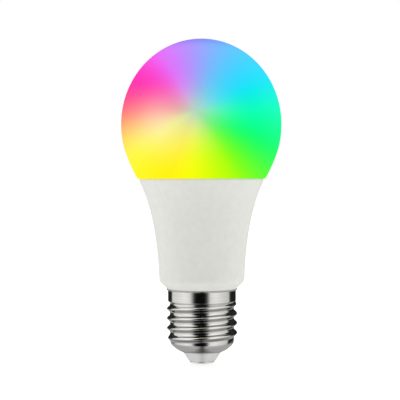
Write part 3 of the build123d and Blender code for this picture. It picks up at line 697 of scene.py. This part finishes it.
# ------------------------------ the screw cap
@dataclass
class ScrewCap:
    """The rolled E27 shell, the cone that insulates it from the contact, and the contact."""

    around: int = 216
    pitch_mm: float = 25.4 / 7
    crest_mm: float = 13.14
    root_mm: float = 11.95
    start_mm: float = 10.0  # height of a crest at the start angle
    start_angle: float = math.radians(255)
    sheet_mm: float = 0.3
    flank_shade_and_sleeve_film: float = 0.55  # strength of the painted shade on the steepest flanks
    # the dark grey of the painted shade on the flanks
    flank_shade_colour: str = "4A4744"
    sharpness: float = 1.5  # power of the thread's wave
    # Heights in millimetres where each of these begins, and over how much it eases in.
    first_crest: tuple[float, float] = (7.9, 2.2)
    last_crest: tuple[float, float] = (23.6, 2.4)  # downwards
    thread_foot: tuple[float, float] = (6.9, 1.6)
    flank_shade_foot: tuple[float, float] = (7.6, 1.6)

    def ridge(self, height: np.ndarray, angle: np.ndarray) -> np.ndarray:
        """Give the thread's share of its full depth, from 0 in the root to 1 on the crest.

        The share follows the distance to the nearest crest of a right-hand helix as a raised
        cosine to a power, so crests are narrower than roots. It grows in over the first half turn
        and dies out into the skirt over the last.

        Args:
            height: heights in millimetres.
            angle: angles in radians.

        Returns:
            The share at each point.
        """
        turned = (angle - self.start_angle) / (2 * np.pi)
        turns = (height - self.start_mm) / self.pitch_mm - turned
        nearest = np.round(turns)
        crest = self.start_mm + self.pitch_mm * (nearest + turned)
        wave = (0.5 + 0.5 * np.cos(2 * np.pi * (turns - nearest))) ** self.sharpness
        (first, grow), (last, fade) = self.first_crest, self.last_crest
        return wave * ease((crest - first) / grow) * ease((last - crest) / fade)

    def shell(self) -> bpy.types.Object:
        """Build the shell: its sheet is the turned profile plus the ridge, inside as outside.

        Returns:
            The shell's object.
        """
        lip = soft_corners([(13.2, 27.38), (13.16, 27.22), (12.7, 27.02), (12.7, 23.35)], 0.1)
        step = soft_corners([(12.7, 23.35), (12.68, 22.95), (11.95, 22.3), (11.95, 21.9)], 0.3)
        wall = through([(11.95, 21.9), (11.95, 15.0), (11.95, 8.6)], 0.13)
        turn_in = [(11.95, 8.6), (11.8, 7.5), (11.36, 6.62), (10.6, 5.88), (9.75, 5.2)]
        bowl = through(turn_in + [(8.55, 4.5), (7.35, 3.95)], 0.2)
        base = np.vstack((lip, step[1:], wall[1:], bowl[1:]))
        slope = np.gradient(base, axis=0)
        out = np.stack((-slope[:, 1], slope[:, 0]), axis=-1)
        out /= np.linalg.norm(out, axis=1, keepdims=True)
        inner = (base - out * self.sheet_mm)[::-1][::2]
        outside, inside = self.rolled(base, 0.0), self.rolled(inner, self.sheet_mm)
        piece = skin("cap_shell", np.vstack((outside, inside)), looped=True)
        # Painted shade: each point's share of darkening, most on the downward flanks under each
        # crest.
        flank_shade_and_sleeve_film = np.vstack((self.flanks(base), self.flanks(inner)))
        layer = piece.data.attributes.new("flank_shade", "FLOAT", "POINT")
        layer.data.foreach_set("value", flank_shade_and_sleeve_film.ravel().astype(np.float32))
        return piece

    def flanks(self, profile: np.ndarray) -> np.ndarray:
        """Give the share of painted shade on the thread's flanks: most on those that face down,
        under each crest.

        The share is a power of the ridge's slope along the axis, from 0 on crests and roots to 1
        on the steepest part of the flank below a crest, plus a little on the flank above.

        Args:
            profile: (radius, height) pairs in millimetres.

        Returns:
            The share at each point of the grid.
        """
        angle, height, apart = circle(self.around), profile[:, 1:2], 0.12
        rise = self.ridge(height + apart, angle) - self.ridge(height - apart, angle)
        steep = rise / rise.max()
        share = np.clip(steep, 0, 1) ** 1.3 + 0.15 * np.clip(-steep, 0, 1) ** 3
        foot, reach = self.flank_shade_foot
        return share * ease((height - foot) / reach)

    def rolled(self, profile: np.ndarray, inset: float) -> np.ndarray:
        """Turn a profile and press the thread out of it.

        Below the wall the ridge is added to the profile; at the skirt the larger of the two holds.

        Args:
            profile: (radius, height) pairs in millimetres.
            inset: how far inside the outer surface this one lies.

        Returns:
            The grid of points in metres.
        """
        angle, radius, height = circle(self.around), profile[:, 0:1], profile[:, 1:2]
        foot, reach = self.thread_foot
        share = self.ridge(height, angle) * ease((height - foot) / reach)
        depth = self.crest_mm - self.root_mm
        thread = np.minimum(radius, self.root_mm - inset) + depth * share
        return swung(np.maximum(radius, thread), height, angle)

    def insulator(self) -> bpy.types.Object:
        """Build the cone and the flange that holds it inside the shell's mouth."""
        loop = soft_corners(
            [
                (1.65, 6.4), (8.3, 6.4), (8.3, 5.15), (7.15, 4.6), (7.1, 3.85), (5.1, 0.8),
                (4.7, 0.6), (1.65, 0.6), (1.65, 6.38),
            ],
            0.25,
        )
        return skin("insulating_cone", lathe(loop, 128), looped=True)

    def contact(self) -> bpy.types.Object:
        """Build the contact: a dished disc with a tubular shank and a seat for the nail."""
        loop = soft_corners(
            [
                (0.78, 5.4), (1.6, 5.4), (1.6, 0.6), (4.6, 0.6), (4.6, 0.12), (4.2, 0.0),
                (1.95, 0.0), (1.88, 0.35), (0.78, 0.35), (0.78, 5.38),
            ],
            0.22,
        )
        return skin("contact_disc", lathe(loop, 128), looped=True)

    def with_flank_shade(self, plate: Finish) -> bpy.types.Material:
        """Paint a dark grey shade over the plate's colour on the thread's flanks, darkest where
        they face down under a crest.

        Args:
            plate: the plate's finish.

        Returns:
            The material.
        """
        made = plate.material()
        tree = made.node_tree
        shader = next(one for one in tree.nodes if one.type == "BSDF_PRINCIPLED")
        flank_shade_and_sleeve_film = node(tree, "Attribute", attribute_name="flank_shade").outputs["Fac"]
        share = maths(tree, "MULTIPLY", flank_shade_and_sleeve_film, self.flank_shade_and_sleeve_film)
        plain = shader.inputs["Base Color"].links[0].from_socket
        flank_shaded = mix(tree, share, plain, linear(self.flank_shade_colour), "MULTIPLY")
        fill(tree, shader, {"Base Color": flank_shaded})
        return made

    def build(self) -> None:
        """Make and dress the three turned pieces and the nail."""
        # Nickel plate on rolled sheet: nearly a mirror, with faint lines round it from rolling.
        plate = ("nickel_plated_sheet", "DEDDDA", "D2D1CE", Pattern.ROLLED, 0.5, (0.09, 0.16))
        # The plate's colour carries painted shade on the thread's downward flanks.
        stand_for(self.shell(), "screw_shell", self.with_flank_shade(Metal(*plate, relief_mm=0.004)))
        # Mica-filled moulding: pale grey with a pearly sheen that takes the light in soft bands.
        mica = ("mica_filled_moulding", "EFEFED", "EAEAE8", Pattern.MOTTLE, 2.2, (0.29, 0.33))
        stand_for(self.insulator(), "base_insulator", Finish(*mica, metallic=0.5).material())
        # Nickel plate on a pressed disc: duller than the shell, with the press's fine grain.
        disc = ("nickel_plated_pressing", "EAE9E7", "E2E1DF", Pattern.GRAIN, 0.6, (0.36, 0.44))
        pressed = Finish(*disc, relief_mm=0.002, metallic=0.75)
        stand_for(self.contact(), "center_contact", pressed.material())
        dress(pressed, "contact_nail")


# ------------------------------ the insides
def dress(finish: Finish | PrintedBoard | CodedResistor | EndCapped, *names: str) -> None:
    """Give a finish to CAD nodes whose shape stays as it is.

    Args:
        finish: what they are made of.
        names: the nodes.
    """
    material = finish.material()
    for name in names:
        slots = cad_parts[name].data.materials
        slots.clear()
        slots.append(material)
        log.info("%s dressed as %s", name, material.name)


@dataclass
class LightEngine:
    """Heat-sink cup, LED board, its LEDs, screws and connector."""

    def build(self) -> None:
        """Dress every piece of the light engine."""
        # Deep-drawn aluminium: bare, with draw lines up the wall.
        dress(
            Metal("drawn_aluminium", "C6C8CB", "B2B4B8", Pattern.DRAWN, 0.5, (0.26, 0.42), 0.01),
            "heat_sink_cup",
        )
        dress(
            PrintedBoard("white_resist_on_aluminium", "F0EFEA", "E4E3DC", "C9C9CC", 4.2, 0.38),
            "led_board",
        )
        # Zinc-plated steel: bluish, a little uneven.
        dress(
            Metal("zinc_plated_steel", "B9BDC2", "A4A8AC", Pattern.GRAIN, 0.5, (0.24, 0.38), 0.006),
            "led_board_screws",
        )
        # Moulded LED frames: dense white filled nylon with a satin skin.
        nylon = ("filled_white_nylon", "F3F1EA", "E6E3DA", Pattern.MOTTLE, 0.8, (0.4, 0.55))
        dress(Finish(*nylon, relief_mm=0.006), "white_led_frames", "rgb_led_frames")
        # Phosphor in silicone: yellow for cool white and orange for warm, slightly grainy.
        for name, colour, shade, drift in (
            ("cool_phosphor", "yellow", "F0DC62", "E2CB4A"),
            ("warm_phosphor", "orange", "F2A840", "E0922C"),
        ):
            cast = (f"{colour}_phosphor_silicone", shade, drift, Pattern.GRAIN, 0.2, (0.3, 0.45))
            dress(Finish(*cast, relief_mm=0.01, glow=0.5), name)
        # Cast clear silicone over the dies, with the slightest orange peel.
        clear = ("clear_cast_silicone", "F8FAFC", "F2F6F8", Pattern.MOTTLE, 0.6, (0.05, 0.1))
        dress(Finish(*clear, relief_mm=0.004, ior=1.42, clear=1.0), "rgb_led_lenses")
        # Lit semiconductor dies: polished chips that shine in one pure hue.
        for name, shade, drift in (
            ("red_dies", "FF3A24", "E02A18"),
            ("green_dies", "2CF070", "1CD45C"),
            ("blue_dies", "3468FF", "2450E8"),
        ):
            die = (f"lit_{name}", shade, drift, Pattern.GRAIN, 0.15, (0.12, 0.2))
            dress(Finish(*die, glow=3.0), name)
        # Natural nylon: warm white and slightly waxy.
        dress(
            Finish("natural_nylon", "EDE8D8", "E2DCC8", Pattern.MOTTLE, 1.2, (0.36, 0.5), 0.008),
            "led_connector",
        )


@dataclass
class DriverStack:
    """Driver board with its parts, the radio module, the header and the mains wires."""

    resistor_rows: tuple[float, ...] = (29.0, 30.5, 40.5, 51.0)  # heights of their middles
    capacitor_rows: tuple[float, ...] = (23.0, 33.2, 46.0, 54.8)

    def build(self) -> None:
        """Dress boards, wound parts, cans, chips and leads."""
        green = PrintedBoard("green_resist_on_glass_laminate", "1E5E3C", "2F7A50", "C8B070")
        black = PrintedBoard("black_resist_on_glass_laminate", "12181F", "222C36", "C8A860", 2.0)
        dress(green, "driver_board")
        dress(black, "radio_board")
        self.metal_parts()
        self.wound_parts()
        self.small_parts()

    def metal_parts(self) -> None:
        """Dress leads, joints, pins, cans and the aerial."""
        # Hot-dipped tin: bright, soft and a little lumpy.
        dress(
            Metal("tinned_copper", "CDCCCA", "B9B8B6", Pattern.DRAWN, 0.4, (0.2, 0.34), 0.008),
            *("bulk_capacitor_leads", "output_capacitor_leads", "fuse_resistor_leads"),
            *("varistor_leads", "film_capacitor_leads", "choke_leads"),
            *("transformer_pins", "driver_chip_legs", "wire_cores"),
        )
        # Set solder: mirror-like fillets with frosted patches.
        dress(
            Metal("set_solder", "C9CACC", "ABACAF", Pattern.MOTTLE, 0.5, (0.14, 0.4), 0.02),
            "solder_joints",
            "radio_solder",
        )
        # Gold flash over nickel on square pins.
        dress(
            Metal("gold_flashed_pins", "E6C266", "D2AC50", Pattern.DRAWN, 0.3, (0.16, 0.26), 0.004),
            "header_pins",
        )
        # Etched copper track under thin resist.
        dress(
            Metal("etched_copper", "C98A52", "B47640", Pattern.GRAIN, 0.25, (0.28, 0.4), 0.004),
            "radio_aerial",
        )
        # Impact-drawn aluminium can: bright with fine draw lines.
        can = ("drawn_can_aluminium", "D4D6D8", "C2C4C7", Pattern.DRAWN, 0.25, (0.2, 0.32))
        dress(Metal(*can, relief_mm=0.005), "bulk_capacitor_can", "output_capacitor_can")
        # Stamped nickel lid: flat, bright, with a faint roll grain.
        lid = ("stamped_nickel_lid", "D2D0CA", "C2C0BA", Pattern.ROLLED, 0.3, (0.18, 0.28))
        dress(Metal(*lid, relief_mm=0.003), "radio_crystal")

    def wound_parts(self) -> None:
        """Dress ferrites, windings, bobbin, tape and jackets."""
        # Sintered ferrite: charcoal, dry, finely pitted.
        dress(
            Finish("sintered_ferrite", "3A3A3D", "2B2B2E", Pattern.GRAIN, 0.3, (0.5, 0.7), 0.012),
            "choke_core",
            "transformer_core",
        )
        # Enamelled copper wire in close turns: each turn catches its own light.
        wire = ("enamelled_copper_wire", "C4682C", "8E3F16", Pattern.WOUND, 0.4, (0.22, 0.36))
        dress(Metal(*wire, relief_mm=0.12, coat=0.5), "choke_winding", "transformer_winding")
        # Moulded phenolic: black, with a dull skin.
        phenolic = ("moulded_phenolic", "1C1C1D", "28282A", Pattern.MOTTLE, 0.9, (0.42, 0.58))
        dress(Finish(*phenolic, relief_mm=0.008), "transformer_bobbin", "header_strip")
        # Polyester tape: clear yellow, smooth, with wrap lines.
        tape = ("polyester_tape", "E8C83A", "D8B42A", Pattern.ROLLED, 1.6, (0.16, 0.26))
        dress(Finish(*tape, relief_mm=0.02, coat=0.5), "transformer_tape")
        # Heat-shrunk film: glossy, slightly rippled where it has drawn in.
        for colour, shade, drift, names in (
            ("black", "17181B", "222328", ("choke_sleeve", "bulk_capacitor_sleeve")),
            ("blue", "1F3A78", "18306A", ("output_capacitor_sleeve",)),
        ):
            flank_shade_and_sleeve_film = (f"{colour}_shrink_film", shade, drift, Pattern.MOTTLE, 2.0, (0.18, 0.3))
            dress(Finish(*flank_shade_and_sleeve_film, relief_mm=0.03, coat=0.3), *names)
        # Butyl rubber bungs: matt black.
        dress(
            Finish("butyl_rubber", "181818", "222222", Pattern.GRAIN, 0.3, (0.62, 0.78), 0.01),
            "bulk_capacitor_bung",
            "output_capacitor_bung",
        )

    def small_parts(self) -> None:
        """Dress the discrete parts, chips and wire sleeves."""
        dress(CodedResistor(), "fuse_resistor")
        # Dipped epoxy: thick, glossy, softly uneven.
        dipped = ("dipped_epoxy", "2A5CA8", "214C92", Pattern.MOTTLE, 1.8, (0.16, 0.28))
        dress(Finish(*dipped, relief_mm=0.06, coat=0.6), "varistor")
        # Moulded box of yellow polyester, potted and glossy.
        box = ("moulded_yellow_polyester", "D8A632", "CB9826", Pattern.MOTTLE, 1.6, (0.24, 0.36))
        dress(Finish(*box, relief_mm=0.01), "film_capacitor")
        # Transfer-moulded epoxy: black with a sparked, even texture.
        black = ("transfer_moulded_epoxy", "19191B", "232326", Pattern.GRAIN, 0.2, (0.48, 0.62))
        dress(Finish(*black, relief_mm=0.01), "bridge_rectifier", "driver_chips", "radio_chip")
        glazed = EndCapped("glazed_chip_resistors", "16161A", self.resistor_rows, 0.65)
        fired = EndCapped("fired_chip_capacitors", "A07C58", self.capacitor_rows, 1.1)
        dress(glazed, "chip_resistors")
        dress(fired, "chip_capacitors")
        # Fired ceramic chips too small to show their ends apart.
        tiny = ("fired_ceramic_chips", "97765A", "C0B8AC", Pattern.GRAIN, 0.6, (0.35, 0.5))
        dress(Finish(*tiny, relief_mm=0.01), "radio_passives")
        # Extruded silicone sleeve: soft, slightly waxy.
        for name, shade, drift in (
            ("live_wire_sleeve", "B3261E", "A01E18"),
            ("neutral_wire_sleeve", "DEDEDC", "D2D2D0"),
        ):
            tube = (f"silicone_{name}", shade, drift, Pattern.DRAWN, 0.5, (0.4, 0.52))
            dress(Finish(*tube, relief_mm=0.01), name)


# ------------------------------ the studio
@dataclass
class Studio:
    """A pale floor, soft light from both sides and above, and the camera."""

    distance: float = 0.43
    eye_height: float = 0.066
    frame_width: float = 0.150  # seen at the lamp's axis
    middle: tuple[float, float] = (-0.00058, 0.0607)  # x and z the view is centred on
    roll: float = 0.2  # degrees
    back_light: float = 1.95
    front_light: float = 0.30
    # Degrees from the camera's side, right positive, and the brightness of a panel or flag there.
    panels: tuple[tuple[float, float], ...] = (
        (-125, 0.02), (-119, 0.85), (-60, 1.12), (-42, 0.95), (-28, 0.10), (-22, 0.004),
        (10, 0.004), (18, 0.10), (30, 0.95), (48, 1.08), (102, 0.72), (112, 0.015),
    )
    dark: float = 0.012  # between the last panel and the first, behind the lamp
    upper_lift: float = 1.3  # how much brighter the panels are high up
    # Z of the direction where a layer begins and is full, and how full.
    ceiling: tuple[float, float, float] = (0.9, 0.99, 0.5)
    ceiling_level: float = 1.2
    ground: tuple[float, float, float] = (-0.36, -0.62, 0.92)
    ground_levels: tuple[float, float] = (0.1, 0.52)  # straight ahead, and off to the sides
    floor_glow: float = 0.72
    aim: tuple[float, float, float] = (0.0, 0.0, 0.06)  # what the softboxes look at

    def floor(self) -> None:
        """Lay the floor just under the contact: a wide disc, radius by angle."""
        wide, top, under = 3000.0, -0.35, -1.0
        rings = np.array([[0, top], [400, top], [wide, top], [wide, under], [0, under]])
        piece = skin("floor", lathe(rings, 96), looped=False)
        made, tree, shader = blank("pale_floor_paper")
        fibre = noise(tree, on_object(tree), 1000 / 900, 4.0)
        inputs = {
            "Base Color": mix(tree, fibre, linear("A8A8A7"), linear("ACACAB")),
            "Roughness": 0.9,
            "Specular IOR Level": 0.1,
            "Emission Color": WHITE,
            "Emission Strength": self.floor_glow,
        }
        fill(tree, shader, inputs)
        piece.data.materials.append(made)
        piece.visible_glossy = False  # black flags on the table keep it out of the plated cap

    def surroundings(self) -> None:
        """Light the room: white to the eye, soft and a little weaker from in front for matt
        surfaces, and for shiny ones bright at both sides with dark flags in front and behind."""
        world = bpy.data.worlds.new("studio_room")
        bpy.context.scene.world = world
        world.use_nodes = True
        tree = world.node_tree
        tree.nodes.clear()
        split = xyz(tree, node(tree, "TexCoord").outputs["Generated"])
        soft = spread(tree, split["Y"], 1.0, -1.0, self.back_light, self.front_light)
        path = node(tree, "LightPath").outputs
        shiny = mix(tree, path["Is Glossy Ray"], soft, self.flags(tree, split))
        seen = mix(tree, path["Is Camera Ray"], shiny, WHITE)
        light = node(tree, "Background", {"Color": seen}).outputs[0]
        node(tree, "OutputWorld", {"Surface": light})

    def flags(self, tree: Tree, split: bpy.types.NodeOutputs) -> Socket:
        """Give what a mirror sees: panels and flags round the lamp, a bright ceiling, a grey floor.

        Args:
            tree: the world's tree.
            split: the separated direction.

        Returns:
            The brightness.
        """
        minus = maths(tree, "MULTIPLY", split["Y"], -1.0)
        turn = maths(tree, "ARCTAN2", split["X"], minus)
        round_about = node(tree, "ValToRGB", {0: spread(tree, turn, -math.pi, math.pi)})
        stops = round_about.color_ramp.elements
        stops[0].color = stops[1].color = self.grey(self.dark)
        for degrees, level in self.panels:
            stops.new(0.5 + degrees / 360).color = self.grey(level)
        lift = spread(tree, split["Z"], 0.1, 0.6, 1.0, self.upper_lift)
        inputs = {0: round_about.outputs[0], "Scale": lift}
        lifted = node(tree, "VectorMath", inputs, operation="SCALE").outputs[0]
        bright = self.grey(self.ceiling_level)
        ceiling = self.layer(tree, split["Z"], lifted, bright, self.ceiling)
        aside = maths(tree, "ABSOLUTE", split["X"])
        paper = spread(tree, aside, 0.03, 0.2, *self.ground_levels)
        nearer = maths(tree, "MULTIPLY_ADD", split["Y"], -0.3, split["Z"])
        return self.layer(tree, nearer, ceiling, paper, self.ground)

    @staticmethod
    def grey(level: float) -> tuple[float, float, float, float]:
        """Give an even grey of one brightness."""
        return level, level, level, 1.0

    @staticmethod
    def layer(
        tree: Tree,
        height: Socket,
        under: Socket,
        over: Socket | tuple[float, ...],
        band: tuple[float, float, float],
    ) -> Socket:
        """Lay one brightness over another from one height of the direction to the next.

        Args:
            tree: the world's tree.
            height: the direction's height, from -1 to 1.
            under: the brightness below.
            over: the brightness laid on it.
            band: the Z where it begins, the Z where it is full, and how full.

        Returns:
            The brightness with the layer on it.
        """
        begin, full, most = band
        return mix(tree, spread(tree, height, begin, full, 0.0, most, "SMOOTHSTEP"), under, over)

    def softbox(
        self, name: str, place: tuple[float, float, float], size: float, watts: float
    ) -> None:
        """Hang one square softbox that looks at the lamp's middle.

        Args:
            name: the light's name.
            place: where it hangs, in metres.
            size: its side in metres.
            watts: its power.
        """
        light = bpy.data.lights.new(name, "AREA")
        light.shape = "SQUARE"
        light.size = size
        light.energy = watts
        box = bpy.data.objects.new(name, light)
        box.location = place
        aim = Vector(self.aim) - Vector(place)
        box.rotation_euler = aim.to_track_quat("-Z", "Y").to_euler()
        box.visible_glossy = False
        bpy.context.scene.collection.objects.link(box)

    def camera(self) -> None:
        """Set the camera square to the front: the lens follows from the width it takes in."""
        data = bpy.data.cameras.new("camera")
        data.sensor_width = 36.0
        data.lens = data.sensor_width * self.distance / self.frame_width
        data.shift_y = (self.middle[1] - self.eye_height) / self.frame_width
        data.clip_start = 0.01
        eye = bpy.data.objects.new("camera", data)
        eye.location = (self.middle[0], -self.distance, self.eye_height)
        eye.rotation_euler = (math.pi / 2, math.radians(self.roll), 0.0)
        bpy.context.scene.collection.objects.link(eye)
        bpy.context.scene.camera = eye

    def build(self) -> None:
        """Set up floor, light and camera."""
        bpy.context.scene.view_settings.view_transform = "Standard"
        self.floor()
        self.surroundings()
        self.softbox("left_softbox", (-0.9, -0.35, 0.55), 0.7, 0.6)
        self.softbox("right_softbox", (0.9, -0.35, 0.55), 0.7, 0.6)
        self.softbox("top_softbox", (0.0, 0.0, 1.2), 1.0, 1.5)
        self.camera()


def main() -> None:
    """Build the lamp's looks in order, then the studio."""
    logging.basicConfig(level=logging.INFO, format="%(name)s: %(message)s")
    Envelope().build()
    ScrewCap().build()
    LightEngine().build()
    DriverStack().build()
    Studio().build()


if __name__ == "__main__":
    main()
